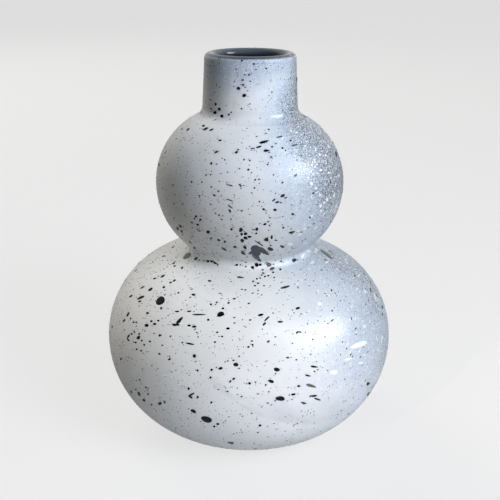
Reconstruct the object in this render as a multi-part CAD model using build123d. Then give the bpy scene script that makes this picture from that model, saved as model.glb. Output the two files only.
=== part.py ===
from build123d import *
import math
import os

# Double gourd vase: thrown clay sections and a turned foot ring, luted together
# with slip at the belly of each bulb, the waist, the neck and the foot, with a
# dark liner glaze inside and a pale sprayed coat outside. Millimetres, +Z up,
# origin on the table under the middle of the foot.

# Finished outside, from the table up
base_radius = 43.0  # lower edge of the lower bulb
base_clearance = 1.2  # height of that edge above the table
lower_bulb_radius = 83.5
lower_bulb_under = 56.0  # table to the lower bulb's widest line
lower_bulb_shoulder = 52.2  # widest line to the waist
waist_radius = 29.0
waist_fillet = 3.0
upper_bulb_radius = 53.0
upper_bulb_under = 40.0  # waist to the upper bulb's widest line
upper_bulb_shoulder = 39.0  # widest line to the root of the neck
neck_fillet = 4.0
neck_length = 32.8  # root of the neck to the crest of the lip
neck_top_radius = 25.0
neck_flare = 1.5  # how much wider the neck is at its root
lip_width = 6.0  # across the full round lip, with both glazes

# Walls and layers
clay_wall = 5.2
waist_wall = 5.5  # waist's outside to the hole through it
floor_thickness = 6.0
floor_fillet = 9.0  # rounded corner of the clay floor, inside
inner_edge_round = 1.6  # clay edges of the waist hole and the neck, inside
coat_thickness = 0.4
liner_thickness = 0.4
slip_thickness = 0.5  # in every luted joint

# Foot ring
foot_ring_inset = 4.0  # base edge to the outside of the ring
foot_ring_width = 7.0
foot_ring_height = 2.8
foot_ring_round = 0.8  # edges that meet the table

# Each bulb has one arc from its widest line up and one down
quarter = 90  # degrees from the widest line to the top of an arc
run_on = 2 * waist_wall  # how far an arc runs on past its end, so that every layer's arcs cross


def arc_radius(widest, end, rise):
    """Radius of the arc that is upright at a bulb's widest line and ends at another radius."""
    return ((widest - end) ** 2 + rise**2) / (2 * (widest - end))


def arc_turn(widest, end, rise):
    """Degrees from the widest line to the arc's top, or to where it has run on past its end."""
    arc = arc_radius(widest, end, rise)
    to_end = math.atan2(rise, end - widest + arc)
    return max(quarter, math.degrees(to_end + run_on / arc))


def arc_height(widest, end, rise):
    """How far that arc climbs from the widest line before it ends, over its top if it passes it."""
    return arc_radius(widest, end, rise) if widest - end > rise else rise


# Heights of the outline's stations
lower_middle = lower_bulb_under
waist_height = lower_middle + lower_bulb_shoulder
upper_middle = waist_height + upper_bulb_under
neck_root_height = upper_middle + upper_bulb_shoulder
crest_height = neck_root_height + neck_length

# The lip is a half circle of clay; each glaze follows it on its own side
lip_clay_radius = (lip_width - coat_thickness - liner_thickness) / 2
lip_radius = neck_top_radius - coat_thickness - lip_clay_radius
lip_height = crest_height - max(coat_thickness, liner_thickness) - lip_clay_radius

# Holes in the bare clay
mouth_hole_radius = lip_radius - lip_clay_radius
waist_hole_radius = waist_radius - waist_wall + liner_thickness

# Luted joints: the bellies are butted rim to rim, the waist and the neck sit on
# a flat ring with a spigot in the middle of the wall
lower_crest = lower_middle + arc_height(lower_bulb_radius, waist_radius, lower_bulb_shoulder)
waist_seat_height = lower_crest - coat_thickness
waist_spigot_radius = (waist_hole_radius + waist_radius - coat_thickness) / 2
neck_seat_height = neck_root_height - coat_thickness
neck_spigot_radius = (mouth_hole_radius + neck_top_radius + neck_flare - coat_thickness) / 2
foot_ring_radius = base_radius - foot_ring_inset
foot_hole_radius = foot_ring_radius - foot_ring_width
foot_recess_height = foot_ring_height + slip_thickness
floor_height = foot_recess_height + floor_thickness

# Past the outline on every side, for cuts across the whole section
beyond = lower_bulb_radius + crest_height
nearly = 1e-4  # corners this close to a height are on it


def block(inner, outer, low, high):
    """Rectangle of the half section, between two radii and two heights."""
    return Pos((inner + outer) / 2, (low + high) / 2) * Rectangle(outer - inner, high - low)


def bulb_section(middle, under, shoulder, depth):
    """Section of one bulb at a depth under its finished surface, run on past the axis.

    Under and shoulder hold each arc's widest radius, end radius and rise.
    """
    radius = under[0]
    under_arc = arc_radius(*under)
    shoulder_arc = arc_radius(*shoulder)
    low = CenterArc((radius - under_arc, middle), under_arc - depth, -arc_turn(*under), arc_turn(*under))
    high = CenterArc((radius - shoulder_arc, middle), shoulder_arc - depth, 0, arc_turn(*shoulder))
    bottom = low @ 0
    top = high @ 1
    far_side = min(bottom.X, top.X, 0.0) - radius
    back = Polyline(top, (far_side, top.Y), (far_side, bottom.Y), bottom)
    return make_face([low, high, back])


def lower_bulb_section(depth):
    under = (lower_bulb_radius, base_radius, lower_bulb_under - base_clearance)
    shoulder = (lower_bulb_radius, waist_radius, lower_bulb_shoulder)
    return bulb_section(lower_middle, under, shoulder, depth)


def upper_bulb_section(depth):
    under = (upper_bulb_radius, waist_radius, upper_bulb_under)
    shoulder = (upper_bulb_radius, neck_top_radius + neck_flare, upper_bulb_shoulder)
    return bulb_section(upper_middle, under, shoulder, depth)


def neck_section(depth):
    """The neck's outside as a straight taper, run down into the upper bulb."""
    top_radius = neck_top_radius - depth
    taper = neck_flare / (neck_root_height - lip_height)
    low_radius = top_radius + taper * (upper_middle - lip_height)
    low = (low_radius, upper_middle)
    top = (top_radius, lip_height)
    return Polygon((0, upper_middle), low, top, (0, lip_height), align=None)


def corners_at(section, height):
    """Corners of a section at one height, clear of the axis."""
    return [v for v in section.vertices() if v.X > nearly and abs(v.Y - height) < nearly]


def corners_between(section, low, high):
    """Corners of a section between two heights, clear of the axis."""
    return [v for v in section.vertices() if v.X > nearly and low + nearly < v.Y < high - nearly]


def outside_section(depth):
    """Everything inside the vase's outline, with sharp creases at the waist and the neck."""
    base_core = block(0, foot_ring_radius + slip_thickness, base_clearance, lower_middle)
    waist_core = block(0, waist_hole_radius, lower_middle, upper_middle)
    solid = lower_bulb_section(depth) + upper_bulb_section(depth) + base_core + waist_core
    solid += neck_section(depth)
    return solid & block(0, beyond, base_clearance, lip_height)


def smooth_outside_section(depth):
    """The same with both creases filled to their fillets."""
    section = outside_section(depth)
    section = fillet(corners_between(section, lower_middle, upper_middle), waist_fillet + depth)
    return fillet(corners_between(section, upper_middle, lip_height), neck_fillet + depth)


def hollow_section(depth):
    """The hollow of the bare clay, or of the glazed vase where depth is the liner's."""
    wall = coat_thickness + clay_wall + depth
    floor = floor_height + depth
    waist_hole = block(0, waist_hole_radius - depth, lower_middle, upper_middle)
    mouth_hole = block(0, mouth_hole_radius - depth, upper_middle, lip_height)
    hollow = lower_bulb_section(wall) + upper_bulb_section(wall) + waist_hole + mouth_hole
    hollow = hollow & block(0, beyond, floor, lip_height)
    hollow = fillet(corners_between(hollow, lower_middle, upper_middle), inner_edge_round + depth)
    hollow = fillet(corners_between(hollow, upper_middle, lip_height), inner_edge_round + depth)
    return fillet(corners_at(hollow, floor), floor_fillet - depth)


def lip_glaze_section(thickness, inner, outer):
    """A glaze over the lip, from one radius to another."""
    ring = Circle(lip_clay_radius + thickness) - Circle(lip_clay_radius)
    return (Pos(lip_radius, lip_height) * ring) & block(inner, outer, lip_height, beyond)


def turned(section):
    """A section swept once round the vase's axis."""
    return revolve(Plane.XZ * section, Axis.Z)


# Bare clay, then what each luted joint takes from it
clay = outside_section(coat_thickness) - hollow_section(0)
clay += Pos(lip_radius, lip_height) * Circle(lip_clay_radius)
slip_beads = smooth_outside_section(coat_thickness) - outside_section(coat_thickness)

lower_bowl_side = block(0, beyond, 0, lower_middle)
slipped_lower_bowl_side = block(0, beyond, 0, lower_middle + slip_thickness)
upper_bowl_side = block(0, beyond, 0, upper_middle)
slipped_upper_bowl_side = block(0, beyond, 0, upper_middle + slip_thickness)

lower_side = block(0, beyond, 0, waist_seat_height)
lower_side += block(0, waist_spigot_radius, 0, upper_middle)
slipped_lower_side = block(0, beyond, 0, waist_seat_height + slip_thickness)
slipped_lower_side += block(0, waist_spigot_radius + slip_thickness, 0, upper_middle)

neck_side = block(0, beyond, neck_seat_height + slip_thickness, beyond)
neck_side += block(0, neck_spigot_radius, upper_middle, beyond)
slipped_neck_side = block(0, beyond, neck_seat_height, beyond)
slipped_neck_side += block(0, neck_spigot_radius + slip_thickness, upper_middle, beyond)

foot_ring = block(foot_hole_radius, foot_ring_radius, 0, foot_ring_height)
foot_ring = fillet(corners_at(foot_ring, 0), foot_ring_round)
foot_recess = block(0, foot_ring_radius + slip_thickness, 0, foot_recess_height)
foot_slip = block(foot_hole_radius, foot_ring_radius + slip_thickness, base_clearance, foot_recess_height)

sections = {
    "lower_bowl": (clay & lower_bowl_side) - foot_recess,
    "lower_shoulder": (clay & lower_side) - slipped_lower_bowl_side,
    "upper_bowl": (clay & upper_bowl_side) - slipped_lower_side,
    "upper_shoulder": clay - slipped_upper_bowl_side - slipped_neck_side,
    "neck_collar": clay & neck_side,
    "foot_ring": foot_ring,
    "lower_belly_slip_joint": clay & (slipped_lower_bowl_side - lower_bowl_side),
    "upper_belly_slip_joint": clay & (slipped_upper_bowl_side - upper_bowl_side),
    "waist_slip_joint": (clay & (slipped_lower_side - lower_side))
    + (slip_beads & block(0, beyond, lower_middle, upper_middle)),
    "neck_slip_joint": (clay & (slipped_neck_side - neck_side))
    + (slip_beads & block(0, beyond, upper_middle, lip_height)),
    "foot_slip_joint": foot_slip - block(0, foot_ring_radius, 0, foot_ring_height),
    "liner_glaze": hollow_section(0)
    - hollow_section(liner_thickness)
    + lip_glaze_section(liner_thickness, 0, lip_radius),
    "outer_coat": smooth_outside_section(0)
    - smooth_outside_section(coat_thickness)
    + lip_glaze_section(coat_thickness, lip_radius, beyond),
}

os.makedirs("parts", exist_ok=True)
for node, section in sections.items():
    export_step(turned(section), f"parts/{node}.step")
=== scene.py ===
import math
import random
from collections import namedtuple

import bmesh
import bpy
from mathutils import Matrix, Vector
from mathutils.bvhtree import BVHTree
from mathutils.geometry import intersect_line_sphere_2d, intersect_sphere_sphere_2d


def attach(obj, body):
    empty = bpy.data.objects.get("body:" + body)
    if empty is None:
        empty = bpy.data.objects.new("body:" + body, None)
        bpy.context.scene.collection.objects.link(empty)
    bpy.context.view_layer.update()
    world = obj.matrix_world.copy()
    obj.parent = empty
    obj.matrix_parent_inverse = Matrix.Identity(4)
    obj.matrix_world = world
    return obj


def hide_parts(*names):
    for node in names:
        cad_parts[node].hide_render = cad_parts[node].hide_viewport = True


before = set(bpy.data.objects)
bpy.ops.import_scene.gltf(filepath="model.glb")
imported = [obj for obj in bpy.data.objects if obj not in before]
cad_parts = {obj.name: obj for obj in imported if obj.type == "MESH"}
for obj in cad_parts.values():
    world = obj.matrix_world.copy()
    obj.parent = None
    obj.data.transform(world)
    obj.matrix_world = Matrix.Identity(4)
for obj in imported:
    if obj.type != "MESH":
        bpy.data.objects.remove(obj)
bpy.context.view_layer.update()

# Double gourd vase: a pale sprayed coat with spattered dark glaze over luted
# stoneware, and a dark liner glaze inside. Metres, +Z up, origin on the table
# under the middle of the foot, the viewer on the -Y side and +X to the right.
mm = 0.001

# Finished outside, the sizes of the CAD part
base_radius = 43.0 * mm
base_clearance = 1.2 * mm
lower_bulb_radius = 83.5 * mm
lower_bulb_under = 56.0 * mm
lower_bulb_shoulder = 52.2 * mm
waist_radius = 29.0 * mm
waist_fillet = 3.0 * mm
upper_bulb_radius = 53.0 * mm
upper_bulb_under = 40.0 * mm
upper_bulb_shoulder = 39.0 * mm
neck_fillet = 6.5 * mm  # the one size that differs: the coat pools fuller here than the CAD bead of 4 mm
neck_length = 32.8 * mm
neck_top_radius = 25.0 * mm
neck_flare = 1.5 * mm
lip_width = 6.0 * mm

# Inside, at the liner's surface
wall = 6.0 * mm  # coat, clay and liner together
waist_hole_radius = 23.5 * mm
floor_height = 9.7 * mm
floor_round = 8.6 * mm
inner_edge_round = 2.0 * mm
glaze_thickness = 0.4 * mm  # the coat's and the liner's

# Heights of the outline's stations
lower_middle = lower_bulb_under
waist_height = lower_middle + lower_bulb_shoulder
upper_middle = waist_height + upper_bulb_under
neck_root_height = upper_middle + upper_bulb_shoulder
crest_height = neck_root_height + neck_length
lip_round = lip_width / 2
lip_middle = Vector((neck_top_radius - lip_round, crest_height - lip_round))

# Mesh steps
section_step = 2.0 * mm  # along the outline
least_steps = 8  # on a short round
turn_steps = 192  # round the axis

# The camera stands where the photograph was taken from
picture_side = 500  # pixels across the square picture
focal_length = 850  # in the same pixels
sensor_width = 36.0
camera_place = Vector((0.4, -469.3, 270.9)) * mm
camera_pitch = 0.337  # radians down
camera_roll = 0.0054


def arc_radius(widest, end, rise):
    """Radius of the arc that is upright at a bulb's widest line and ends at another radius."""
    return ((widest - end) ** 2 + rise**2) / (2 * (widest - end))


# Each bulb has one arc from its widest line down and one up
under_rise = lower_bulb_under - base_clearance
neck_root_radius = neck_top_radius + neck_flare
lower_under = arc_radius(lower_bulb_radius, base_radius, under_rise)
lower_shoulder = arc_radius(lower_bulb_radius, waist_radius, lower_bulb_shoulder)
upper_under = arc_radius(upper_bulb_radius, waist_radius, upper_bulb_under)
upper_shoulder = arc_radius(upper_bulb_radius, neck_root_radius, upper_bulb_shoulder)
lower_under_middle = Vector((lower_bulb_radius - lower_under, lower_middle))
lower_shoulder_middle = Vector((lower_bulb_radius - lower_shoulder, lower_middle))
upper_under_middle = Vector((upper_bulb_radius - upper_under, upper_middle))
upper_shoulder_middle = Vector((upper_bulb_radius - upper_shoulder, upper_middle))


def outermost(points):
    """The point furthest from the axis."""
    return max(points, key=lambda p: p.x)


def touch(middle, other, radius):
    """Where a circle about middle touches a round about other."""
    return middle + (other - middle).normalized() * radius


def outside_strokes():
    """Start and strokes of the outline, from the base edge up to the crest of the lip.

    A stroke is the middle of an arc, or None for a straight line, and the point it ends at.
    """
    waist_round = outermost(
        intersect_sphere_sphere_2d(
            lower_shoulder_middle,
            lower_shoulder + waist_fillet,
            upper_under_middle,
            upper_under + waist_fillet,
        )
    )
    root = Vector((neck_root_radius, neck_root_height))
    top = Vector((neck_top_radius, lip_middle.y))
    across_neck = (top - root).orthogonal().normalized()
    if across_neck.x < 0:
        across_neck.negate()
    beside_neck = across_neck * neck_fillet
    neck_round = max(
        intersect_line_sphere_2d(
            root + beside_neck,
            top + beside_neck,
            upper_shoulder_middle,
            upper_shoulder + neck_fillet,
            False,
        ),
        key=lambda p: p.y,
    )
    strokes = (
        (lower_under_middle, Vector((lower_bulb_radius, lower_middle))),
        (lower_shoulder_middle, touch(lower_shoulder_middle, waist_round, lower_shoulder)),
        (waist_round, touch(upper_under_middle, waist_round, upper_under)),
        (upper_under_middle, Vector((upper_bulb_radius, upper_middle))),
        (upper_shoulder_middle, touch(upper_shoulder_middle, neck_round, upper_shoulder)),
        (neck_round, neck_round - beside_neck),
        (None, top),
        (lip_middle, Vector((lip_middle.x, crest_height))),
    )
    return Vector((base_radius, base_clearance)), strokes


def edge_round(bulb_middle, bulb_arc, hole_radius, side):
    """Middle of the round between a hole's upright wall and a hollow, above it or below it."""
    across = hole_radius + inner_edge_round - bulb_middle.x
    reach = bulb_arc - wall + inner_edge_round
    return Vector((hole_radius + inner_edge_round, bulb_middle.y + side * math.sqrt(reach**2 - across**2)))


def inside_strokes():
    """Start and strokes of the liner's surface, from the crest of the lip to the middle of the floor."""
    above = 1
    below = -1
    bore_radius = lip_middle.x - lip_round
    neck_edge = edge_round(upper_shoulder_middle, upper_shoulder, bore_radius, above)
    waist_top = edge_round(upper_under_middle, upper_under, waist_hole_radius, below)
    waist_low = edge_round(lower_shoulder_middle, lower_shoulder, waist_hole_radius, above)
    reach = lower_under - wall - floor_round
    drop = lower_middle - floor_height - floor_round
    corner_radius = lower_under_middle.x + math.sqrt(reach**2 - drop**2)
    floor_corner = Vector((corner_radius, floor_height + floor_round))
    aside = Vector((inner_edge_round, 0))
    strokes = (
        (lip_middle, Vector((bore_radius, lip_middle.y))),
        (None, neck_edge - aside),
        (neck_edge, touch(upper_shoulder_middle, neck_edge, upper_shoulder - wall)),
        (upper_shoulder_middle, Vector((upper_bulb_radius - wall, upper_middle))),
        (upper_under_middle, touch(upper_under_middle, waist_top, upper_under - wall)),
        (waist_top, waist_top - aside),
        (None, waist_low - aside),
        (waist_low, touch(lower_shoulder_middle, waist_low, lower_shoulder - wall)),
        (lower_shoulder_middle, Vector((lower_bulb_radius - wall, lower_middle))),
        (lower_under_middle, touch(lower_under_middle, floor_corner, lower_under - wall)),
        (floor_corner, Vector((floor_corner.x, floor_height))),
        (None, Vector((0, floor_height))),
    )
    return Vector((lip_middle.x, crest_height)), strokes


def in_section(point):
    """A point of the half section, radius and height, in space."""
    return Vector((point.x, 0, point.y))


def draw_section(bm, start, strokes):
    """Draws a section as one chain: each arc is its last vertex spun about the arc's middle."""
    last = bm.verts.new(in_section(start))
    here = start
    for middle, end in strokes:
        if middle is None:
            steps = max(1, round((end - here).length / section_step))
            for step in range(steps):
                last = bmesh.ops.extrude_vert_indiv(bm, verts=[last])["verts"][0]
                last.co = in_section(here.lerp(end, (step + 1) / steps))
        else:
            turn = (end - middle).angle_signed(here - middle)
            steps = max(least_steps, round(abs(turn) * (end - middle).length / section_step))
            made = bmesh.ops.spin(
                bm, geom=[last], cent=in_section(middle), axis=(0, -1, 0), angle=turn, steps=steps
            )
            last = next(v for v in made["geom_last"] if isinstance(v, bmesh.types.BMVert))
            last.co = in_section(end)
        here = end


def spun_skin(strokes, outward):
    """A section spun once round the axis, with its faces turned out from the axis or in to it."""
    bm = bmesh.new()
    draw_section(bm, *strokes)
    geom = bm.verts[:] + bm.edges[:]
    full_turn = 2 * math.pi
    bmesh.ops.spin(
        bm, geom=geom, cent=(0, 0, 0), axis=(0, 0, 1), angle=full_turn, steps=turn_steps, use_merge=True
    )
    same_place = 0.001 * mm
    bmesh.ops.remove_doubles(bm, verts=bm.verts, dist=same_place)
    bmesh.ops.recalc_face_normals(bm, faces=bm.faces)
    widest = max(bm.faces, key=lambda f: f.calc_center_median().xy.length)
    facing_out = widest.normal.xy.dot(widest.calc_center_median().xy) > 0
    if facing_out != outward:
        bmesh.ops.reverse_faces(bm, faces=bm.faces)
    return bm


def made_piece(name, bm, *materials):
    """Turns a bmesh into a smooth-shaded piece that rides the vase's one body."""
    sharp = math.radians(40)
    for face in bm.faces:
        face.smooth = True
    for edge in bm.edges:
        edge.smooth = edge.calc_face_angle(math.pi) < sharp
    mesh = bpy.data.meshes.new(name)
    bm.to_mesh(mesh)
    bm.free()
    for material in materials:
        mesh.materials.append(material)
    piece = bpy.data.objects.new(name, mesh)
    bpy.context.scene.collection.objects.link(piece)
    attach(piece, "root")
    return piece


def glaze_shell(name, skin, material, node):
    """A skin given the glaze's thickness, in place of its CAD node."""
    bm = skin.copy()
    bmesh.ops.solidify(bm, geom=bm.faces[:], thickness=glaze_thickness)
    piece = made_piece(name, bm, material)
    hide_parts(node)
    return piece


def linear(hex_colour):
    """An sRGB hex colour as the linear colour that a shader takes."""
    parts = [int(hex_colour[n : n + 2], 16) / 255 for n in (1, 3, 5)]
    return [p / 12.92 if p <= 0.04045 else ((p + 0.055) / 1.055) ** 2.4 for p in parts] + [1]


def add(tree, kind, inputs=None, **settings):
    """Adds a node with its settings; an input takes a value or another node's output."""
    node = tree.nodes.new(kind)
    for name, value in settings.items():
        setattr(node, name, value)
    for name, value in (inputs or {}).items():
        if isinstance(value, bpy.types.NodeSocket):
            tree.links.new(value, node.inputs[name])
        else:
            node.inputs[name].default_value = value
    return node


def material_tree(name):
    """A new material and its empty node tree."""
    material = bpy.data.materials.new(name)
    material.use_nodes = True
    material.node_tree.nodes.clear()
    return material, material.node_tree


def finish_material(tree, inputs):
    """Closes a material with its surface shader."""
    surface = add(tree, "ShaderNodeBsdfPrincipled", inputs)
    add(tree, "ShaderNodeOutputMaterial", {"Surface": surface.outputs["BSDF"]})


def cells_of(size):
    """A pattern's scale, which counts its cells in a metre."""
    return 1 / size


def sprayed_coat():
    """Off-white satin glaze sprayed on stoneware, under a mist of dark glaze blown from the right.

    Spraying leaves a fine dry grain that spreads the light to a soft sheen. Where the mist is thin it
    tints the coat blue, and where it is thick it lies as separate dark grains, so the right side looks
    peppered. It gathers on the upper bulb's shoulder and under the lip, and the dark liner laps the lip.
    The blue and the dark grains towards the right limb and on the shoulder are partly this mist and
    partly painted shade, where the light falls off on that side.
    In the corner at the root of the neck the coat pools and fires glossier, so the light stands there as
    a bright line. The real grains are near 0.2 mm and are drawn coarser, so that they can be seen.
    """
    material, tree = material_tree("sprayed_coat")
    place = add(tree, "ShaderNodeTexCoord").outputs["Object"]
    height = add(tree, "ShaderNodeSeparateXYZ", {0: place}).outputs["Z"]
    tone = add(tree, "ShaderNodeTexNoise", {"Vector": place, "Scale": cells_of(14 * mm), "Detail": 3})
    white = add(
        tree,
        "ShaderNodeMix",
        {0: tone.outputs["Fac"], 6: linear("#DADEE0"), 7: linear("#E7EAEB")},
        data_type="RGBA",
    )

    # The mist on the right also carries painted shade: it blues and darkens the coat towards the right
    # limb, where the light falls off.
    mist_and_shade_from = math.radians(85)  # round from the viewer to the right
    toward = (math.sin(mist_and_shade_from), -math.cos(mist_and_shade_from), 0)
    level = add(tree, "ShaderNodeVectorMath", {0: place, 1: (1, 1, 0)}, operation="MULTIPLY")
    outward = add(tree, "ShaderNodeVectorMath", {0: level.outputs[0]}, operation="NORMALIZE")
    facing = add(tree, "ShaderNodeVectorMath", {0: outward.outputs[0], 1: toward}, operation="DOT_PRODUCT")
    gathered_height = 172 * mm  # where the mist and its painted shade are thickest
    off_shoulder = add(tree, "ShaderNodeMath", {0: height, 1: gathered_height}, operation="SUBTRACT")
    how_far = add(tree, "ShaderNodeMath", {0: off_shoulder.outputs[0]}, operation="ABSOLUTE")
    gathered_mist_and_shade = add(
        tree,
        "ShaderNodeMapRange",
        {"Value": how_far.outputs[0], "From Min": 20 * mm, "From Max": 48 * mm, "To Min": 0.3, "To Max": 0},
        interpolation_type="SMOOTHSTEP",
    )
    blown = add(
        tree, "ShaderNodeMath", {0: facing.outputs["Value"], 1: gathered_mist_and_shade.outputs[0]}, operation="ADD"
    )
    cloud = add(tree, "ShaderNodeTexNoise", {"Vector": place, "Scale": cells_of(25 * mm), "Detail": 2})
    uneven = add(
        tree, "ShaderNodeMapRange", {"Value": cloud.outputs["Fac"], "To Min": -0.2, "To Max": 0.2}
    )
    drift_and_shade = add(tree, "ShaderNodeMath", {0: blown.outputs[0], 1: uneven.outputs[0]}, operation="ADD")
    beside = add(
        tree,
        "ShaderNodeMapRange",
        {"Value": drift_and_shade.outputs[0], "From Min": 0.3, "From Max": 1.05, "To Max": 0.72},
        interpolation_type="SMOOTHSTEP",
    )
    under_lip = add(
        tree,
        "ShaderNodeMapRange",
        {"Value": height, "From Min": 196 * mm, "From Max": 215 * mm, "To Max": 0.7},
        interpolation_type="SMOOTHSTEP",
    )
    mist_and_shade = add(tree, "ShaderNodeMath", {0: beside.outputs[0], 1: under_lip.outputs[0]}, operation="MAXIMUM")
    grains = add(tree, "ShaderNodeTexNoise", {"Vector": place, "Scale": cells_of(0.65 * mm), "Detail": 1})
    patchy = add(
        tree,
        "ShaderNodeMapRange",
        {"Value": grains.outputs["Fac"], "From Min": 0.36, "From Max": 0.56, "To Min": 0.3, "To Max": 1.2},
    )
    parted = add(tree, "ShaderNodeMath", {0: mist_and_shade.outputs[0], 1: patchy.outputs[0]}, operation="MULTIPLY")
    tinted = add(
        tree,
        "ShaderNodeMix",
        {0: parted.outputs[0], 6: white.outputs[2], 7: linear("#9BB0C6")},
        data_type="RGBA",
    )

    # Dark grains growing towards the right limb: partly the thick mist, partly painted shade.
    thick = add(
        tree,
        "ShaderNodeMapRange",
        {"Value": drift_and_shade.outputs[0], "From Min": 0.8, "From Max": 1.25, "To Max": 0.95},
        interpolation_type="SMOOTHSTEP",
    )
    apart = add(
        tree,
        "ShaderNodeMapRange",
        {"Value": grains.outputs["Fac"], "From Min": 0.38, "From Max": 0.58},
    )
    peppered = add(tree, "ShaderNodeMath", {0: thick.outputs[0], 1: apart.outputs[0]}, operation="MULTIPLY")
    misted_and_shaded = add(
        tree,
        "ShaderNodeMix",
        {0: peppered.outputs[0], 6: tinted.outputs[2], 7: linear("#30363E")},
        data_type="RGBA",
    )

    lapped = add(
        tree,
        "ShaderNodeMapRange",
        {"Value": height, "From Min": 218.2 * mm, "From Max": 219.4 * mm},
        interpolation_type="SMOOTHSTEP",
    )
    colour = add(
        tree,
        "ShaderNodeMix",
        {0: lapped.outputs[0], 6: misted_and_shaded.outputs[2], 7: linear("#3C4651")},
        data_type="RGBA",
    )
    satin = add(tree, "ShaderNodeMapRange", {"Value": tone.outputs["Fac"], "To Min": 0.36, "To Max": 0.44})
    pool_height = neck_root_height + 1.5 * mm
    off_corner = add(tree, "ShaderNodeMath", {0: height, 1: pool_height}, operation="SUBTRACT")
    from_corner = add(tree, "ShaderNodeMath", {0: off_corner.outputs[0]}, operation="ABSOLUTE")
    pooled = add(
        tree,
        "ShaderNodeMapRange",
        {"Value": from_corner.outputs[0], "From Min": 2 * mm, "From Max": 5 * mm, "To Min": 1, "To Max": 0},
        interpolation_type="SMOOTHSTEP",
    )
    glossed = add(tree, "ShaderNodeMath", {0: lapped.outputs[0], 1: pooled.outputs[0]}, operation="MAXIMUM")
    sheen = add(tree, "ShaderNodeMix", {0: glossed.outputs[0], 2: satin.outputs[0], 3: 0.15})
    dry = add(tree, "ShaderNodeTexNoise", {"Vector": place, "Scale": cells_of(0.9 * mm), "Detail": 2})
    bump = add(
        tree, "ShaderNodeBump", {"Strength": 0.25, "Distance": 0.08 * mm, "Height": dry.outputs["Fac"]}
    )
    finish_material(
        tree,
        {
            "Base Color": colour.outputs[2],
            "Roughness": sheen.outputs[0],
            "IOR": 1.5,
            "Coat Weight": 0.35,
            "Coat Roughness": 0.2,
            "Normal": bump.outputs[0],
        },
    )
    return material


def liner_gloss():
    """Dark blue-black glaze poured through the inside and fired to a gloss.

    It pools thick and nearly black, and mirrors the light as a sharp streak inside the mouth and as a
    thin line along the crest of the lip. Towards the crest it turns grey, partly where it runs thin over
    the lip and partly as a painted reflection of the light on the inner wall.
    """
    material, tree = material_tree("liner_gloss")
    place = add(tree, "ShaderNodeTexCoord").outputs["Object"]
    height = add(tree, "ShaderNodeSeparateXYZ", {0: place}).outputs["Z"]
    flow = add(tree, "ShaderNodeTexNoise", {"Vector": place, "Scale": cells_of(9 * mm), "Detail": 3})
    pooled = add(
        tree,
        "ShaderNodeMix",
        {0: flow.outputs["Fac"], 6: linear("#0B0F15"), 7: linear("#1B232D")},
        data_type="RGBA",
    )
    # Painted reflection: grey towards the crest, partly thin glaze over the lip and partly the light
    # mirrored on the inner wall.
    thin_lip_and_reflection = add(
        tree,
        "ShaderNodeMapRange",
        {"Value": height, "From Min": 215.5 * mm, "From Max": 219.6 * mm},
        interpolation_type="SMOOTHSTEP",
    )
    colour = add(
        tree,
        "ShaderNodeMix",
        {0: thin_lip_and_reflection.outputs[0], 6: pooled.outputs[2], 7: linear("#566069")},
        data_type="RGBA",
    )
    rings = add(
        tree,
        "ShaderNodeTexWave",
        {"Vector": place, "Scale": cells_of(20 * mm), "Distortion": 1.5, "Detail": 1},
        bands_direction="Z",
    )
    bump = add(
        tree, "ShaderNodeBump", {"Strength": 0.2, "Distance": 0.2 * mm, "Height": rings.outputs["Fac"]}
    )
    finish_material(
        tree,
        {"Base Color": colour.outputs[2], "Roughness": 0.1, "IOR": 1.55, "Normal": bump.outputs[0]},
    )
    return material


def spattered_glaze():
    """The same dark glaze flicked from a brush, fired to round glossy beads.

    Each bead is thick in the middle and mirrors the light as one bright point, and looks black elsewhere.
    """
    material, tree = material_tree("spattered_glaze")
    place = add(tree, "ShaderNodeTexCoord").outputs["Object"]
    pool = add(tree, "ShaderNodeTexNoise", {"Vector": place, "Scale": cells_of(6 * mm), "Detail": 1})
    colour = add(
        tree,
        "ShaderNodeMix",
        {0: pool.outputs["Fac"], 6: linear("#07090C"), 7: linear("#161B22")},
        data_type="RGBA",
    )
    finish_material(
        tree,
        {"Base Color": colour.outputs[2], "Roughness": 0.08, "IOR": 1.5, "Specular IOR Level": 0.3},
    )
    return material


def thin_spatter():
    """Dark glaze that hit as a thin film and let the pale coat show through.

    It fired to a slate grey with brown at its thinnest, with the same gloss as the thick beads.
    """
    material, tree = material_tree("thin_spatter")
    place = add(tree, "ShaderNodeTexCoord").outputs["Object"]
    film = add(tree, "ShaderNodeTexNoise", {"Vector": place, "Scale": cells_of(3 * mm), "Detail": 2})
    colour = add(
        tree,
        "ShaderNodeMix",
        {0: film.outputs["Fac"], 6: linear("#252D39"), 7: linear("#454F5D")},
        data_type="RGBA",
    )
    finish_material(tree, {"Base Color": colour.outputs[2], "Roughness": 0.15, "IOR": 1.5})
    return material


def smeared_spatter():
    """The thinnest dark glaze, drawn out as it hit, so that the coat shows through as olive grey.

    So little glaze keeps no blue and no deep gloss; it looks like a stain with a soft sheen.
    """
    material, tree = material_tree("smeared_spatter")
    place = add(tree, "ShaderNodeTexCoord").outputs["Object"]
    stain = add(tree, "ShaderNodeTexNoise", {"Vector": place, "Scale": cells_of(2.5 * mm), "Detail": 2})
    colour = add(
        tree,
        "ShaderNodeMix",
        {0: stain.outputs["Fac"], 6: linear("#383733"), 7: linear("#66655F")},
        data_type="RGBA",
    )
    finish_material(tree, {"Base Color": colour.outputs[2], "Roughness": 0.3, "IOR": 1.5})
    return material


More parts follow.
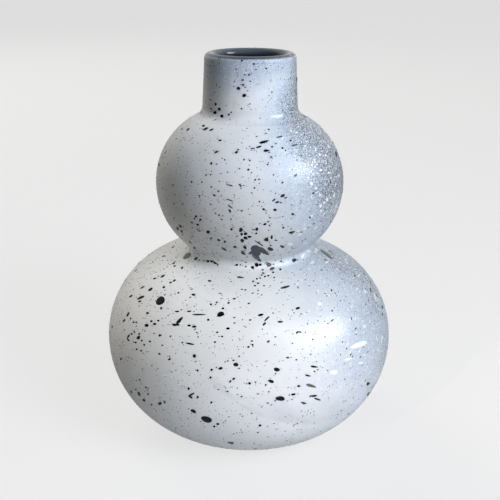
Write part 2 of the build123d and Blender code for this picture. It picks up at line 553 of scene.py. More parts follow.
def pale_spatter_and_glints():
    """White glaze flicked over the misted side, fired to small glossy flecks.

    They are partly white spatter and partly painted glints, white where dark beads on the lit side mirror
    the light.
    They stay the lightest thing on the grey side and carry a sharp highlight.
    """
    material, tree = material_tree("pale_spatter_and_glints")
    place = add(tree, "ShaderNodeTexCoord").outputs["Object"]
    milk = add(tree, "ShaderNodeTexNoise", {"Vector": place, "Scale": cells_of(5 * mm), "Detail": 1})
    colour = add(
        tree,
        "ShaderNodeMix",
        {0: milk.outputs["Fac"], 6: linear("#ECEFF1"), 7: linear("#FAFBFB")},
        data_type="RGBA",
    )
    finish_material(tree, {"Base Color": colour.outputs[2], "Roughness": 0.15, "IOR": 1.5})
    return material


def bare_stoneware():
    """Buff stoneware, thrown and turned, fired without glaze.

    Turning drags fine grog through the surface and leaves rings; iron in the clay burns to dark
    dots. It looks dry and sandy, without a highlight.
    """
    material, tree = material_tree("bare_stoneware")
    place = add(tree, "ShaderNodeTexCoord").outputs["Object"]
    sand = add(tree, "ShaderNodeTexNoise", {"Vector": place, "Scale": cells_of(2.5 * mm), "Detail": 4})
    body = add(
        tree,
        "ShaderNodeMix",
        {0: sand.outputs["Fac"], 6: linear("#BFB19C"), 7: linear("#D8CEBD")},
        data_type="RGBA",
    )
    iron = add(tree, "ShaderNodeTexVoronoi", {"Vector": place, "Scale": cells_of(3 * mm)})
    dot = add(
        tree,
        "ShaderNodeMapRange",
        {"Value": iron.outputs["Distance"], "From Min": 0.08, "From Max": 0.16, "To Min": 0.7, "To Max": 0},
    )
    colour = add(
        tree,
        "ShaderNodeMix",
        {0: dot.outputs[0], 6: body.outputs[2], 7: linear("#5B4534")},
        data_type="RGBA",
    )
    bump = add(
        tree, "ShaderNodeBump", {"Strength": 0.4, "Distance": 0.15 * mm, "Height": sand.outputs["Fac"]}
    )
    finish_material(tree, {"Base Color": colour.outputs[2], "Roughness": 0.85, "Normal": bump.outputs[0]})
    return material


def fired_slip():
    """Joining slip, the same clay let down with water and brushed on, then fired.

    The fine clay in it dries smooth and a little darker than the thrown walls, with faint brush marks.
    """
    material, tree = material_tree("fired_slip")
    place = add(tree, "ShaderNodeTexCoord").outputs["Object"]
    brushed = add(
        tree,
        "ShaderNodeTexNoise",
        {"Vector": place, "Scale": cells_of(4 * mm), "Detail": 2, "Distortion": 1.5},
    )
    colour = add(
        tree,
        "ShaderNodeMix",
        {0: brushed.outputs["Fac"], 6: linear("#B3A48E"), 7: linear("#C9BCA8")},
        data_type="RGBA",
    )
    finish_material(tree, {"Base Color": colour.outputs[2], "Roughness": 0.75})
    return material


def plain_floor():
    """Matt white studio paper, smooth and even, so that it only takes the vase's soft shadow.

    What the camera and mirrors see of it is lifted to white; the light it throws back is not.
    """
    mirror_lift = 0.28
    camera_lift = 0.72
    material, tree = material_tree("plain_floor")
    path = add(tree, "ShaderNodeLightPath")
    mirrored = add(
        tree, "ShaderNodeMath", {0: path.outputs["Is Glossy Ray"], 1: mirror_lift}, operation="MULTIPLY"
    )
    lifted = add(
        tree,
        "ShaderNodeMath",
        {0: path.outputs["Is Camera Ray"], 1: camera_lift, 2: mirrored.outputs[0]},
        operation="MULTIPLY_ADD",
    )
    paper = add(tree, "ShaderNodeBsdfDiffuse", {"Color": linear("#707070")})
    white = add(tree, "ShaderNodeEmission", {"Color": linear("#FFFFFF"), "Strength": lifted.outputs[0]})
    both = add(tree, "ShaderNodeAddShader", {0: paper.outputs[0], 1: white.outputs[0]})
    add(tree, "ShaderNodeOutputMaterial", {"Surface": both.outputs[0]})
    return material


def placed_camera():
    """The camera at the photograph's viewing angle."""
    data = bpy.data.cameras.new("camera")
    data.sensor_width = sensor_width
    data.lens = sensor_width * focal_length / picture_side
    camera = bpy.data.objects.new("camera", data)
    pitched = Matrix.Rotation(math.pi / 2 - camera_pitch, 4, "X")
    rolled = Matrix.Rotation(camera_roll, 4, "Z")
    camera.matrix_world = Matrix.Translation(camera_place) @ pitched @ rolled
    bpy.context.scene.collection.objects.link(camera)
    bpy.context.scene.camera = camera
    return camera


# One spattered drop: where its middle is seen in the photograph, how long and how
# wide it is seen there, all in pixels, and how many degrees its length leans up to
# the right. A tail narrows it to the right, or to the left where it is negative.
Drop = namedtuple("Drop", "seen_x seen_y long wide lean tail finish", defaults=(0, 0, 0))
dark, thin, pale, film = range(4)  # order of the spatter's materials

neck_drops = (
    Drop(238.4, 88.4, 3.4, 3.2, 0),
    Drop(244.2, 95.5, 4.2, 3.2, 10),
    Drop(242.6, 80, 3, 1.5, 15),
    Drop(253.9, 63.9, 2, 1.8, 0),
    Drop(256, 69.5, 1.7, 1.2, 0),
    Drop(241.5, 108.7, 1.8, 1.6, 0),
    Drop(214.9, 112.5, 3.2, 3.2, 0),
    Drop(221.8, 116.1, 3.2, 3, 20),
    Drop(215.6, 104.3, 3.2, 2, 85),
    Drop(219.3, 109.2, 3.4, 2.6, -50),
    Drop(211, 108.6, 1.8, 1.6, 0),
    Drop(228.6, 114.6, 1.7, 1.6, 0),
    Drop(231.1, 112.3, 1.6, 1.4, 0),
)

upper_bulb_drops = (
    Drop(188, 129.4, 4, 1.6, 35),
    Drop(203.4, 125.7, 2.8, 2, 30),
    Drop(205.7, 128.8, 6, 2.4, 28, 0.3),
    Drop(211.4, 129.7, 5, 1.9, 25, 0.4),
    Drop(220, 140.4, 3.4, 1.5, 12),
    Drop(216.5, 151.9, 4.2, 1.9, 12, 0.3),
    Drop(236.4, 152.3, 3.6, 1.9, 25),
    Drop(264, 141.8, 10, 3, 17, 0.5),
    Drop(252.7, 148.4, 5, 0.9, 0),
    Drop(258.9, 146.9, 6.6, 1.5, 18),
    Drop(266.5, 150.6, 6.6, 2.8, 5, 0.6),
    Drop(279.5, 136.8, 7, 1.3, 12, 0, thin),
    Drop(294.4, 145.2, 7, 1.2, 12, 0, thin),
    Drop(268.8, 129.4, 1.8, 1.3, 0),
    Drop(272, 146.9, 1.9, 1.6, 0),
    Drop(282.5, 148, 1.9, 1.6, 0),
    Drop(249.8, 160.5, 1.8, 1.6, 0),
    Drop(248.3, 169.7, 2.1, 2, 0),
    Drop(267.7, 164.5, 1.8, 1.6, 0),
    Drop(211.2, 163.4, 2.6, 1.8, 80),
    Drop(239.5, 168.6, 1.5, 1.3, 0),
    Drop(255.2, 179.8, 1.8, 1.8, 0),
    Drop(254.4, 187.9, 2, 1.6, 80),
    Drop(229.6, 185.2, 8, 1, -15),
    Drop(240.7, 186, 1.9, 1.6, 0),
    Drop(229.6, 200.1, 9, 1, -18),
    Drop(230.3, 206.8, 6.5, 1, -32),
    Drop(282.7, 195.7, 4.8, 3.2, 25, 0.5),
    Drop(277.9, 202, 2.2, 1.9, 0),
    Drop(274.4, 199.4, 1.8, 1.6, 0),
    Drop(259.3, 201.6, 1.6, 1.6, 0),
    Drop(263.6, 209.3, 2.6, 2, -25),
    Drop(275, 209.9, 3.2, 2.5, 0),
    Drop(292.8, 214.1, 2.6, 1.9, -15),
    Drop(310.2, 217.3, 2.2, 1.8, 70),
    Drop(195.9, 216.4, 2, 2, 0),
    Drop(200.3, 219.8, 2.2, 1.8, 0),
    Drop(197.7, 224.8, 2.6, 1.9, -30),
    Drop(180.2, 226.1, 4, 1.6, -55),
    Drop(177.6, 228.6, 4, 1.7, -58),
    Drop(181.6, 231.4, 3.2, 1.5, -52),
    Drop(208, 232, 3.6, 3, -30),
    Drop(218.7, 240.1, 3.4, 2, -25),
    Drop(224.8, 241.8, 2.4, 2.2, 80),
    Drop(231.5, 229.3, 2.2, 2.2, 0),
    Drop(211, 238.4, 2, 1.6, 0),
    Drop(190.2, 242.3, 3.4, 1.6, -40),
    Drop(194.4, 247.9, 3, 1.4, -35),
    Drop(224.1, 249.1, 6, 2.2, -30, 0, thin),
    Drop(264.8, 224.2, 3.2, 2, 20),
    Drop(256.7, 229.2, 3.6, 2.6, 75),
    Drop(256.3, 233.4, 2, 1.6, 0),
    Drop(283.2, 227.7, 2, 1.8, 0),
    Drop(291.9, 232.3, 7, 2.1, 15, 0.4),
    Drop(240.5, 230.7, 3, 2.6, 0),
    Drop(241.6, 234.2, 2.6, 2.6, 0),
    Drop(245.5, 233.8, 3.4, 2.8, 0),
    Drop(249.5, 236.8, 4.2, 2.2, 0, 0.3),
    Drop(245.6, 238, 4, 2.8, -30),
    Drop(242.2, 240.7, 3.6, 3.6, 0),
    Drop(234.9, 247, 3, 2.2, 0),
    Drop(244.9, 247.5, 4, 2.4, -45),
    Drop(266.4, 239.7, 4.5, 3.3, 0),
    Drop(271.8, 237.2, 3.6, 2, 80),
    Drop(270.4, 249.1, 6, 3.2, -25),
    Drop(282.2, 246.6, 4.8, 1.9, -22),
    # Pale drops: partly white spatter, partly painted glints where dark beads on the lit right side mirror
    # the light.
    Drop(319.6, 154.6, 3, 1.6, -70, 0, pale),
    Drop(325.7, 155.4, 2.2, 1.5, 80, 0, pale),
    Drop(321.1, 170, 2.4, 2, 80, 0, pale),
    Drop(328.9, 172.7, 2, 2, 0, 0, pale),
    Drop(311.5, 184, 3.4, 2.6, 80, 0, pale),
    Drop(316.1, 188.3, 2.4, 2, 80, 0, pale),
    Drop(320, 194.8, 3.4, 1.6, -70, 0, pale),
    Drop(334.1, 195.1, 5, 1.3, 80, 0, pale),
    Drop(327.2, 199.7, 3.4, 2, 80, 0, pale),
    Drop(324.2, 202.8, 2.6, 2, 70, 0, pale),
    Drop(320.7, 205.9, 3.4, 2.2, 70, 0, pale),
    Drop(336.4, 206.2, 4.4, 1.5, 75, 0, pale),
    Drop(321.1, 210.8, 2.2, 1.8, 0, 0, pale),
    Drop(311.5, 216.2, 3.6, 2.2, 45, 0, pale),
    Drop(315.7, 227.7, 4.8, 1.5, 50, 0, pale),
    Drop(304.7, 228.8, 2.6, 2, 45, 0, pale),
    Drop(297.8, 231.1, 2.6, 2, 30, 0, pale),
    Drop(299.7, 234.9, 5, 1.8, 40, 0, pale),
    Drop(313.8, 236.1, 2.6, 1.6, 50, 0, pale),
    Drop(305.8, 243.3, 2.4, 1.8, 30, 0, pale),
    Drop(290.1, 244.5, 5.5, 3, 5, 0, pale),
)

# The one large splash, under the front of the upper bulb: a body and its arms
splash_drops = (
    Drop(256.2, 250.6, 13, 9.6, -55, 0, thin),
    Drop(264.3, 251.6, 13.5, 6.5, -34, 0.85, thin),
    Drop(256.8, 257, 12.5, 8, -48, 0.85, thin),
    Drop(252.3, 252.4, 8, 5.5, 22, -0.6, thin),
    Drop(243, 252.9, 4.6, 3.2, -40, 0, thin),
    Drop(259, 243.4, 13, 0.9, -33),
)

waist_drops = (
    Drop(252.5, 267.4, 3.2, 2.8, 0),
    Drop(256.7, 264.8, 4, 3.6, -50),
    Drop(260.2, 264.8, 2.6, 2.4, 0),
    Drop(268.8, 264.6, 5.4, 3.8, -20, 0, film),
    Drop(272.1, 268.6, 5.4, 2.6, 20, 0, film),
    Drop(294.3, 260.2, 4.8, 3.2, 15),
    Drop(281.1, 261.3, 2.4, 1.4, 0),
    Drop(236.8, 264.8, 2.4, 2, 0),
    Drop(207.9, 261.3, 2.8, 2.2, 0),
    Drop(215, 262.9, 4, 1.8, -25),
    Drop(262.6, 269.8, 2, 1.6, 0),
    Drop(263.2, 273.1, 2.6, 1.3, -20),
    Drop(264.9, 276.5, 2.2, 1.2, 20),
    Drop(261.7, 275, 1.8, 1.2, 0),
    Drop(268.4, 275.6, 2, 1.3, 30),
    Drop(273.1, 272.3, 2.2, 1.4, 0),
    Drop(274.1, 277.5, 1.8, 1.2, 0),
    Drop(256.9, 278.8, 1.8, 1.4, 0),
    Drop(260.3, 278.1, 1.6, 1.2, 0),
    Drop(253.1, 281.3, 2.2, 1.3, 25),
    Drop(258, 283.2, 2.2, 1.4, 0),
    Drop(255, 285.7, 2, 1.2, 0),
    Drop(264, 285.7, 1.6, 1.2, 0),
    Drop(280.4, 269.4, 2.4, 1.8, 0),
    # Pale drops: partly white spatter, partly painted glints where dark beads on the lit right side mirror
    # the light.
    Drop(316.5, 249.5, 4, 1.8, -25, 0, pale),
    Drop(308.9, 250.8, 3.4, 1.7, -35, 0, pale),
    Drop(315.7, 251.8, 3.4, 1.6, -10, 0, pale),
    Drop(302.7, 256, 6.2, 2.4, 55, 0, pale),
    Drop(312.3, 262.1, 5, 2.2, 25, 0, pale),
    Drop(326.8, 262.1, 4.4, 2, 30, 0, pale),
    Drop(346, 259.4, 2.4, 1.8, 0, 0, pale),
    Drop(326.5, 254.2, 17, 2.2, -38, 0, film),
)

lower_bulb_drops = (
    Drop(187.1, 255.8, 9.5, 4.4, 38, 0, film),
    Drop(195.9, 258.6, 4.4, 1.8, 45),
    Drop(182, 267.8, 3, 1.7, 45),
    Drop(160.4, 300.8, 10.3, 7.4, 35),
    Drop(220.5, 314.2, 7.1, 4.9, 20),
    Drop(222.9, 308.4, 2.7, 1.8, 30),
    Drop(228.6, 302.9, 2.4, 1.6, 30),
    Drop(199.3, 314.6, 15.2, 2, 0, 0.7),
    Drop(176.1, 324.8, 8, 2.4, 0, 0.4),
    Drop(179.6, 320.4, 10, 3.4, 49, 0.4),
    Drop(189.1, 325.5, 3.6, 1.7, -5),
    Drop(194.2, 326.7, 4, 2, 15),
    Drop(177.1, 311.5, 4.5, 1.4, 0),
    Drop(189.1, 311.3, 5, 1.3, 5),
    Drop(190.1, 343.8, 9.4, 2, -10, 0.5),
    Drop(182.3, 342.6, 1.6, 1.6, 0),
    Drop(194.4, 356, 3.4, 3.2, 40),
    Drop(235.9, 364.6, 4.9, 3.9, -15),
    Drop(220.4, 368.4, 4.8, 2.8, 20, -0.4),
    Drop(197.5, 370.4, 2, 2, 0),
    Drop(211.6, 369.8, 2.4, 2.2, 0),
    Drop(210.5, 377.5, 2.3, 2, 0),
    Drop(188.6, 388.6, 2.2, 2, 80),
    Drop(191.3, 394.6, 7.3, 1.7, 27),
    Drop(190.8, 397.2, 4, 1.7, -25),
    Drop(197.7, 397.2, 2.2, 2.1, 0),
    Drop(160, 403.5, 3.9, 2.7, 15),
    Drop(164.9, 402.6, 2, 1.6, 0),
    Drop(143.8, 400.4, 3.2, 2.4, -40),
    Drop(139, 393.9, 4.9, 2.2, -60),
    Drop(131.3, 392.1, 4, 1.5, -65),
    Drop(140.6, 297.7, 8.6, 2.6, 25, -0.3),
    Drop(139.7, 301.3, 3.6, 1.7, 20),
    Drop(150.4, 289.4, 5.4, 2.2, 33),
    Drop(163.8, 287.2, 2.6, 2, 30),
    Drop(174.3, 280.5, 3, 1.8, 35),
    Drop(170.5, 282.5, 3, 1.4, 25),
    Drop(162.7, 276.1, 5, 1.8, 35),
    Drop(154.6, 278.5, 3.4, 1.2, 25),
    Drop(142.3, 287.4, 5, 1.2, 30),
    Drop(130.8, 296.2, 4, 1.6, 35),
    Drop(127.9, 314.4, 5.4, 1.8, 65),
    Drop(124, 320.6, 4, 1.6, 55),
    Drop(147.5, 313.1, 3, 2, 15),
    Drop(146.6, 325.4, 4, 3, -10),
    Drop(151.3, 321.2, 2.6, 1.8, 0),
    Drop(154.6, 324, 3.2, 2.2, 0),
    Drop(158.2, 320.6, 2.2, 1.6, 0),
    Drop(138.4, 337.7, 4, 3, 60),
    Drop(128.3, 336.5, 5, 1.5, 60),
    Drop(128.3, 340, 3.4, 1.3, -45),
    Drop(159.6, 335.4, 2.8, 1.9, 65),
    Drop(149.9, 341.4, 2, 1.8, 0),
    Drop(144.2, 344.8, 2, 1.8, 0),
    Drop(159.4, 353.9, 2.8, 1.6, -35),
    Drop(161.1, 308.2, 2.6, 2, 80),
    Drop(193.5, 294.7, 4, 2, -12),
    Drop(209.6, 280.9, 3.4, 1.8, -8),
    Drop(240.4, 277.3, 7.4, 2, -5, 0.6),
    Drop(208.2, 319.8, 2.3, 2.2, 0),
    Drop(210.9, 304.4, 2, 1.8, 0),
    Drop(227.9, 328.5, 3.6, 2.2, 5),
    Drop(222.1, 336.5, 2, 1.6, 0),
    Drop(214.9, 342.1, 2, 1.8, 0),
    Drop(248.4, 347, 2.6, 1.7, 20),
    Drop(249.5, 383.4, 3, 2.2, -20),
    Drop(211.3, 402.3, 2, 1.8, 0),
    Drop(285.3, 287.1, 9.6, 2.5, 15, 0.3),
    Drop(260.7, 314.9, 5.5, 2.4, 12),
    Drop(266.7, 318.8, 8, 1.4, 45),
    Drop(264.3, 324, 4.4, 2, 45),
    Drop(280.4, 321.8, 5.2, 2.1, 3, 0.3),
    Drop(297.8, 308.2, 5, 2, 15),
    Drop(297.2, 332.4, 3.6, 1.5, 35),
    Drop(299.8, 332, 3.8, 1.2, -10),
    Drop(268.3, 341.6, 3.3, 2, 25),
    Drop(252.5, 344.8, 2, 2, 0),
    Drop(276.8, 369.5, 6.3, 3.7, -15),
    Drop(271, 381.3, 6.1, 2.9, -15),
    Drop(280.2, 398.6, 9.6, 4.5, 0),
    Drop(314.3, 366.7, 7.4, 2.3, -8, 0.5),
    Drop(307.9, 375.6, 6, 1.9, -15, 0.4),
    Drop(311.2, 385.8, 11, 3.4, -15, 0.5, film),
    Drop(298.7, 386.1, 3.2, 1.9, 0),
    Drop(293.3, 394.4, 4.6, 1.9, 12),
    Drop(313.8, 395.9, 7, 1.8, 5),
    Drop(317.4, 399.2, 7.5, 1.4, -20),
    Drop(303.6, 403, 5.6, 1.6, -15),
    # Pale drops: partly white spatter, partly painted glints where dark beads on the lit right side mirror
    # the light.
    Drop(359.1, 344.8, 18, 5.4, 22, 0, pale),
    Drop(348.2, 359.3, 8.5, 2.6, 15, 0, pale),
    Drop(360.7, 363.1, 5.4, 2, 20, 0, pale),
    Drop(333.5, 372.7, 9, 4.6, 10, 0, pale),
    Drop(319.6, 303.5, 4.4, 3.8, 60, 0, pale),
    Drop(332.2, 320.4, 3.6, 1.2, 40),
    Drop(364.6, 326.4, 3, 2.6, 70, 0, pale),
    Drop(365, 291.4, 4, 1.5, -55, 0, pale),
    Drop(359.1, 275.4, 3.6, 1.8, 60, 0, pale),
    Drop(357, 289, 3, 1.6, 50, 0, pale),
    Drop(368, 383.8, 3.8, 2.2, 65),
    Drop(368.8, 393.7, 6, 2, 55),
    Drop(193.4, 411.2, 6.2, 3.1, -25),
    Drop(206.6, 419.4, 11.6, 6, -22),
    Drop(217.8, 424, 3, 2, 0),
    Drop(214.2, 426.5, 2.4, 1.8, 0),
    Drop(260, 425.5, 3, 2, 0),
    Drop(230.7, 442.8, 7, 1.5, -5),
    Drop(131.6, 333.9, 2, 1.6, 0),
    Drop(134.4, 332, 1.8, 1.5, 0),
    Drop(139.2, 333.9, 2.2, 1.6, 60),
    Drop(135.6, 342.5, 2, 1.6, 0),
    Drop(141.7, 340.6, 1.8, 1.6, 0),
    Drop(136.7, 349.2, 1.8, 1.6, 0),
    Drop(141.1, 350.8, 2, 1.5, 0),
    Drop(121, 358.8, 3, 1.3, 65),
    Drop(133.5, 322.4, 2, 1.6, 0),
    Drop(136.3, 322.4, 1.8, 1.4, 0),
    Drop(130.6, 318.6, 2.2, 1.2, 60),
    Drop(147.8, 394.2, 2, 1.7, 0),
    Drop(151.3, 404.7, 2, 1.6, 0),
    Drop(145.9, 387.5, 1.8, 1.5, 0),
    Drop(139.8, 379.8, 1.8, 1.4, 0),
    Drop(173.7, 263.1, 3.4, 1.3, 35),
    Drop(174.6, 266, 2, 1.3, 30),
    Drop(178.4, 292.8, 2, 1.4, 20),
)

seen_drops = neck_drops + upper_bulb_drops + splash_drops + waist_drops + lower_bulb_drops


def bead_blank(corners):
    """One bead of unit radius: a round rim, a raised shoulder ring, a crown, and a flat underside."""
    shoulder_in = 0.3
    shoulder_up = 0.7
    crown_up = 0.3
    bm = bmesh.new()
    bmesh.ops.create_circle(bm, cap_ends=True, segments=corners, radius=1)
    rim = bm.edges[:]
    top = bm.faces[:]
    bmesh.ops.inset_region(bm, faces=top, thickness=shoulder_in, depth=0, use_boundary=True)
    for corner in top[0].verts:
        corner.co.z = shoulder_up
    crown = bmesh.ops.poke(bm, faces=top)["verts"][0]
    crown.co.z = shoulder_up + crown_up
    bmesh.ops.contextual_create(bm, geom=rim)
    bmesh.ops.recalc_face_normals(bm, faces=bm.faces)
    return bm


def lay_bead(pieces, blank, outline, to_surface, rise, tone):
    """Copies a blank, shapes its outline and lays it on the coat."""
    sunk = 0.03 * mm  # the rim goes into the coat
    bm = blank.copy()
    for corner in bm.verts:
        point, normal = to_surface(*outline(corner.co.x, corner.co.y))
        corner.co = point + normal * (corner.co.z * rise - sunk)
    for face in bm.faces:
        face.material_index = tone
    scratch = bpy.data.meshes.new("bead")
    bm.to_mesh(scratch)
    bm.free()
    pieces.from_mesh(scratch)
    bpy.data.meshes.remove(scratch)


def bead_outline(long, wide, lean, tail, wobble):
    """A function from the unit disc to a leaning oval, comet or dash with an uneven edge."""
    cosine = math.cos(lean)
    sine = math.sin(lean)
    two_lobes, three_lobes, uneven = wobble
    tip_loss = 0.42  # how far a full tail narrows the bead

    def shaped(u, v):
        around = math.atan2(v, u)
        swell = 1 + uneven * (math.sin(2 * around + two_lobes) + math.sin(3 * around + three_lobes))
        u *= swell
        v *= swell
        narrow = 1 - tip_loss * abs(tail) * (1 + math.copysign(1, tail) * u)
        along = u * long / 2
        across = v * wide / 2 * narrow
        return along * cosine - across * sine, along * sine + across * cosine

    return shaped


def bead_rise(width):
    """Height of a bead over the coat: flatter the wider it is."""
    steepness = 0.11
    least = 0.03 * mm
    most = 0.32 * mm
    return min(steepness * width + least, most)


def spatter(skin, camera, finishes):
    """Beads of glaze on the coat: those seen in the photograph first, then a seeded scatter all round."""
    chance = random.Random(11)
    tree = BVHTree.FromBMesh(skin)
    view = camera.matrix_world
    eye = view.translation
    half = picture_side / 2
    round_blank = bead_blank(corners=14)
    speck_blank = bead_blank(corners=5)
    any_way = 6.28  # radians, all round

    def wobble(uneven):
        return chance.uniform(0, any_way), chance.uniform(0, any_way), uneven

    def looked_at(x, y):
        ray = view.to_3x3() @ Vector(((x - half) / focal_length, (half - y) / focal_length, -1))
        point, normal, _, _ = tree.ray_cast(eye, ray.normalized())
        return point, normal

    edge_blur = 0.5  # pixels of each drop's edge that look pale in the picture
    least_facing = 0.5  # drops nearer the limb than this are not made higher for it
    drops = bmesh.new()
    for drop in seen_drops:
        middle, facing = looked_at(drop.seen_x, drop.seen_y)
        pixel = (middle - eye).length / focal_length
        facing_eye = abs(facing.dot((eye - middle).normalized()))

        def on_coat(across, up, drop=drop, middle=middle, facing=facing):
            point, normal = looked_at(drop.seen_x + across, drop.seen_y - up)
            return (point, normal) if point else (middle, facing)

        long = drop.long + edge_blur
        wide = drop.wide + edge_blur
        outline = bead_outline(long, wide, math.radians(drop.lean), drop.tail, wobble(0.05))
        rise = bead_rise(drop.wide * pixel / max(facing_eye, least_facing))
        lay_bead(drops, round_blank, outline, on_coat, rise, drop.finish)

    # A place is drawn on the outline and then round the axis, so the seed always gives the same scatter
    section = bmesh.new()
    draw_section(section, *outside_strokes())
    lines = [sorted((v.co.copy() for v in edge.verts), key=lambda co: co.z) for edge in section.edges]
    lines.sort(key=lambda line: line[0].z + line[1].z)
    areas = [(high - low).length * (low.x + high.x) for low, high in lines]
    section.free()

    def anywhere():
        low, high = chance.choices(lines, areas)[0]
        turned = Matrix.Rotation(2 * math.pi * chance.random(), 3, "Z")
        return turned @ low.lerp(high, chance.random())

    def scattered(pieces, blank, place, long, wide, lean, tail, uneven, finish=dark):
        middle, facing, _, _ = tree.find_nearest(place)
        along = Vector((-middle.y, middle.x, 0)).normalized()
        up = facing.cross(along)

        def on_coat(across, rise):
            point, normal, _, _ = tree.find_nearest(middle + along * across + up * rise)
            return point, normal

        outline = bead_outline(long, wide, lean, tail, wobble(uneven))
        lay_bead(pieces, blank, outline, on_coat, bead_rise(wide), finish)

    def round_from_viewer(place):
        return math.atan2(place.x, -place.y)

    behind = math.radians(72)  # past this the photograph shows no single drops
    lean_mean = math.radians(20)
    lean_spread = math.radians(16)
    drop_count = 620
    drop_size = 1.0 * mm
    front_size = 0.9 * mm  # larger and longer drops in front were placed one by one
    front_stretch = 1.6
    for _ in range(drop_count):
        place = anywhere()
        size = drop_size * chance.lognormvariate(0.1, 0.45)
        drawn_out = chance.choice((1.1, 1.3, 1.6, 2.4, 3.6))
        tail = chance.choice((0, 0, 0.4, 0.7))
        lean = chance.gauss(lean_mean, lean_spread)
        if abs(round_from_viewer(place)) < behind:
            size = min(size, front_size)
            drawn_out = min(drawn_out, front_stretch)
        scattered(drops, round_blank, place, size * drawn_out, size, lean, tail, 0.08)

    big_count = 34
    for _ in range(big_count):
        place = anywhere()
        if abs(round_from_viewer(place)) < behind:
            continue
        size = chance.uniform(2.0, 4.2) * mm
        lean = chance.gauss(lean_mean, lean_spread)
        scattered(drops, round_blank, place, size * chance.uniform(1.1, 1.9), size, lean, 0, 0.09)

    specks = bmesh.new()
    speck_count = 12000
    speck_size = 0.5 * mm
    speck_share = 0.7  # of the tries that are kept in front
    left_gain = 0.3  # more of them on the left, fewer on the right
    for _ in range(speck_count):
        place = anywhere()
        to_left = -math.sin(round_from_viewer(place))
        if chance.random() > speck_share + left_gain * to_left:
            continue
        size = speck_size * chance.lognormvariate(0, 0.35)
        lean = chance.gauss(lean_mean, lean_spread)
        tone = chance.choice((dark, thin))
        scattered(specks, speck_blank, place, size * chance.uniform(1, 1.7), size, lean, 0, 0.06, tone)

    dusted_count = 6500  # tries for the dust under the front of the upper bulb, thinner the higher it fell
    dusted_top = upper_middle + 16 * mm
    dust_size = 0.6 * mm
    for _ in range(dusted_count):
        place = anywhere()
        how_high = (place.z - waist_height) / (dusted_top - waist_height)
        if place.y > 0 or how_high < 0 or how_high > chance.random():
            continue
        size = dust_size * chance.lognormvariate(0, 0.4)
        lean = chance.gauss(-lean_mean, lean_spread)
        scattered(specks, speck_blank, place, size * chance.uniform(1, 2), size, lean, 0, 0.08)

    # Pale flecks on the lit right side: partly white spatter, partly painted glints of the light in the
    # dark beads.
    flecks = bmesh.new()
    pale_count = 14000
    pale_size = 0.55 * mm
    pale_lean = math.radians(48)
    pale_from = math.radians(80)  # the lit side they lie on, where they are partly painted glints, round from the viewer
    pale_gain = 1.8  # how fast they thin out away from that side
    pale_loss = 0.9
    for _ in range(pale_count):
        place = anywhere()
        facing_them = math.cos(round_from_viewer(place) - pale_from)
        if place.z > neck_root_height or chance.random() > pale_gain * facing_them - pale_loss:
            continue
        size = pale_size * chance.lognormvariate(0, 0.4)
        lean = chance.gauss(pale_lean, lean_spread)
        scattered(flecks, speck_blank, place, size * chance.uniform(1.2, 3.2), size, lean, 0, 0.06, pale)

    round_blank.free()
    speck_blank.free()
    for name, beads in (("spatter_drops", drops), ("spatter_specks", specks), ("pale_flecks", flecks)):
        piece = made_piece(name, beads, *finishes)


def bare_pieces():
    """The thrown clay, the foot ring and the slip joints keep their CAD shapes."""
    stoneware = bare_stoneware()
    slip = fired_slip()
    clay_nodes = (
        "lower_bowl",
        "lower_shoulder",
        "upper_bowl",
        "upper_shoulder",
        "neck_collar",
        "foot_ring",
    )
    for name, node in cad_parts.items():
        node.data.materials.clear()
        node.data.materials.append(stoneware if name in clay_nodes else slip)


def studio_floor():
    """A plain pale floor that fills the picture."""
    half_side = 8
    bm = bmesh.new()
    bmesh.ops.create_grid(bm, x_segments=1, y_segments=1, size=half_side)
    mesh = bpy.data.meshes.new("studio_floor")
    bm.to_mesh(mesh)
    bm.free()
    mesh.materials.append(plain_floor())
    floor = bpy.data.objects.new("studio_floor", mesh)
    bpy.context.scene.collection.objects.link(floor)


def soft_light(name, around, above, distance, width, height, watts, hex_colour):
    """An area light that faces the vase, so many degrees round from the viewer and above the floor."""
    data = bpy.data.lights.new(name, "AREA")
    data.shape = "RECTANGLE"
    data.size = width
    data.size_y = height
    data.energy = watts
    data.color = linear(hex_colour)[:3]
    light = bpy.data.objects.new(name, data)
    around = math.radians(around)
    above = math.radians(above)
    middle = Vector((0, 0, crest_height / 2))
    out = Vector((math.sin(around) * math.cos(above), -math.cos(around) * math.cos(above), math.sin(above)))
    light.location = middle + out * distance
    light.rotation_euler = out.to_track_quat("Z", "Y").to_euler()
    bpy.context.scene.collection.objects.link(light)
    return light


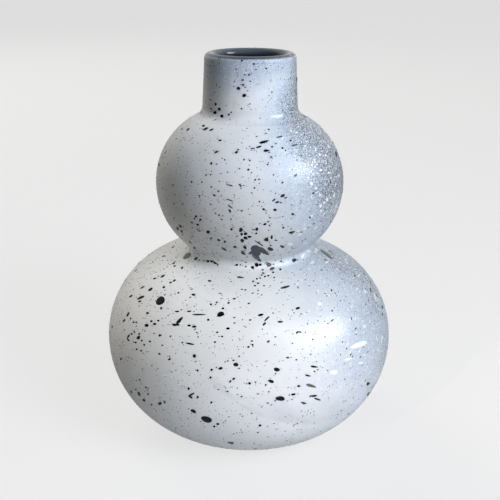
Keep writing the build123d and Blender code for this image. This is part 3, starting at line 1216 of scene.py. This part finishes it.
def studio_light():
    """A wide soft light from the right, one from behind on the left and a weak one from above.

    The window beside the first is only seen as a highlight on the glaze. Three narrow beams lift the
    upper bulb and the neck, the left side and the underside.
    """
    key = soft_light("right_softbox", 45, 31, 1.0, 0.5, 0.5, 10.2, "#F1F6FF")
    window = soft_light("right_window", 72, 24, 1.2, 0.52, 0.4, 7.0, "#F4F9FF")
    window.visible_diffuse = False
    upper_right = soft_light("upper_right", 34, 26, 1.0, 0.05, 0.05, 0.0095, "#EEF5FF")
    upper_right.data.spread = math.radians(9)
    upper_right.location.z += 0.06
    over_left = soft_light("over_left", -50, 72, 1.4, 1.0, 1.0, 0.3, "#FFF3DF")
    back_left = soft_light("back_left", -140, 40, 2.2, 1.4, 1.4, 24, "#FFFAF2")
    low_left = soft_light("low_left", -38, 28, 1.2, 0.4, 0.06, 0.032, "#FFF3E6")
    low_left.data.spread = math.radians(6)
    low_left.location.z -= 0.05
    low_front = soft_light("low_front", 25, 0, 1.2, 0.5, 0.05, 0.19, "#F6F8FF")
    low_front.data.spread = math.radians(9)
    low_front.location.z = 0.0
    for light in (key, upper_right, over_left, back_left, low_left, low_front):
        light.visible_glossy = False


def studio_world():
    """Dim all round; what the camera sees is pale, and so is what mirrors see behind the vase."""
    world = bpy.data.worlds.new("studio")
    world.use_nodes = True
    tree = world.node_tree
    tree.nodes.clear()
    path = add(tree, "ShaderNodeLightPath")
    way = add(tree, "ShaderNodeTexCoord").outputs["Generated"]
    away = add(tree, "ShaderNodeSeparateXYZ", {0: way}).outputs["Y"]
    behind = add(tree, "ShaderNodeMapRange", {"Value": away, "From Min": 0, "From Max": 0.5})
    mirrored = add(
        tree,
        "ShaderNodeMath",
        {0: path.outputs["Is Glossy Ray"], 1: behind.outputs[0]},
        operation="MULTIPLY",
    )
    seen = add(
        tree,
        "ShaderNodeMath",
        {0: path.outputs["Is Camera Ray"], 1: mirrored.outputs[0]},
        operation="MAXIMUM",
    )
    strength = add(tree, "ShaderNodeMapRange", {"Value": seen.outputs[0], "To Min": 0.03, "To Max": 0.8})
    backdrop = add(
        tree, "ShaderNodeBackground", {"Color": linear("#F4F4F2"), "Strength": strength.outputs[0]}
    )
    add(tree, "ShaderNodeOutputWorld", {"Surface": backdrop.outputs[0]})
    bpy.context.scene.world = world


def build_scene():
    """Dresses the vase, then sets the floor, the light and the backdrop round it."""
    camera = placed_camera()
    bare_pieces()
    outside = spun_skin(outside_strokes(), True)
    inside = spun_skin(inside_strokes(), False)
    glaze_shell("outer_coat_skin", outside, sprayed_coat(), "outer_coat")
    glaze_shell("liner_skin", inside, liner_gloss(), "liner_glaze")
    spatter(outside, camera, (spattered_glaze(), thin_spatter(), pale_spatter_and_glints(), smeared_spatter()))
    outside.free()
    inside.free()
    studio_floor()
    studio_light()
    studio_world()
    bpy.context.scene.view_settings.view_transform = "Standard"


build_scene()
